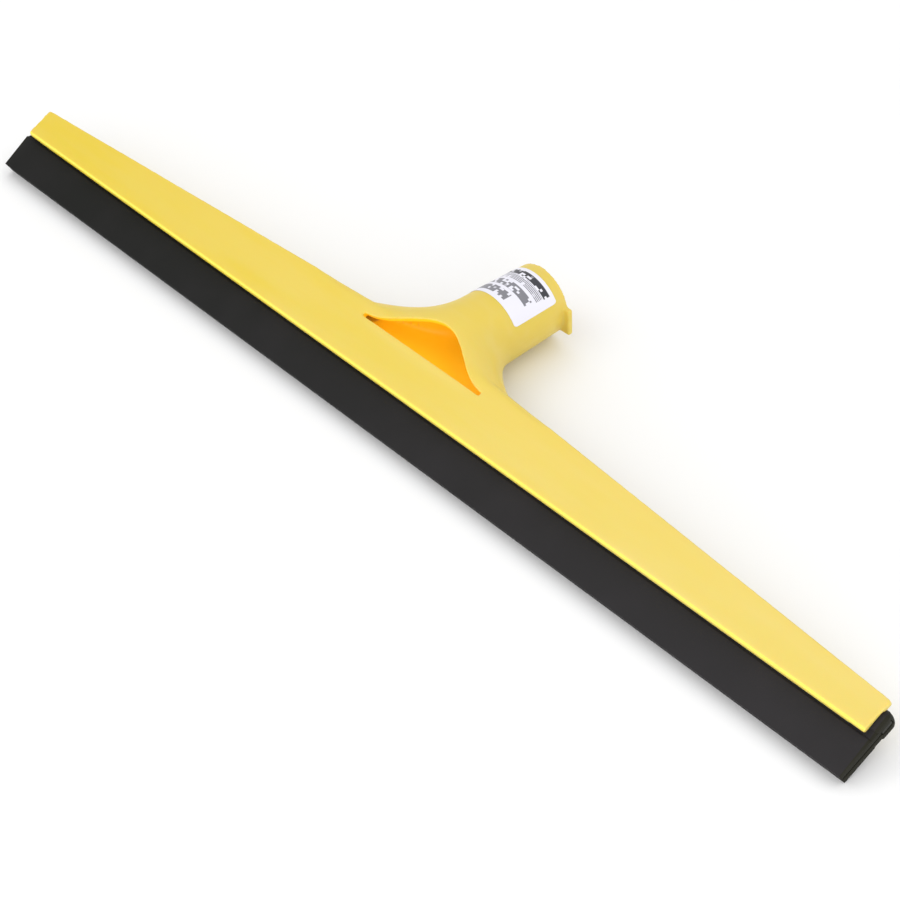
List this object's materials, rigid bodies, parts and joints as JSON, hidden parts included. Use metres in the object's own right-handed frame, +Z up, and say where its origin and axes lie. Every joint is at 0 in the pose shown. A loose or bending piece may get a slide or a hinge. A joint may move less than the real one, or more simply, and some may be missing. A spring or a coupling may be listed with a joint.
{
  "type": "window cleaning squeegee head",
  "caption": "Wide pole-mounted squeegee head: a yellow gabled channel bar with a leaning pole socket, and a black double-lip rubber refill that slides out endwise.",
  "frame": {"origin": "middle of the footprint, on the table the head lies on, as it rests on its rear lip and on the rear of the pole socket", "axes": "+X along the blade, +Y from the working edge to the pole socket, +Z up from the table"},
  "size_m": [0.45, 0.0878, 0.0295],
  "materials": {
    "yellow_plastic": "injection-moulded polypropylene, yellow, satin, faint flow lines and a fine parting line",
    "label_film": null,
    "black_rubber": "matt black fine-cell sponge rubber with cut ends",
    "core_plastic": "dark grey extruded plastic bar, cut ends"
  },
  "bodies": {
    "head": {"head_moulding": "yellow_plastic", "label": "label_film"},
    "refill": {"blade_rubber": "black_rubber", "core_bar": "core_plastic"}
  },
  "joints": [
    {"name": "refill_slide", "type": "slide", "parent": "head", "child": "refill", "axis": [1, 0, 0], "range_m": [0, 0.46]}
  ]
}
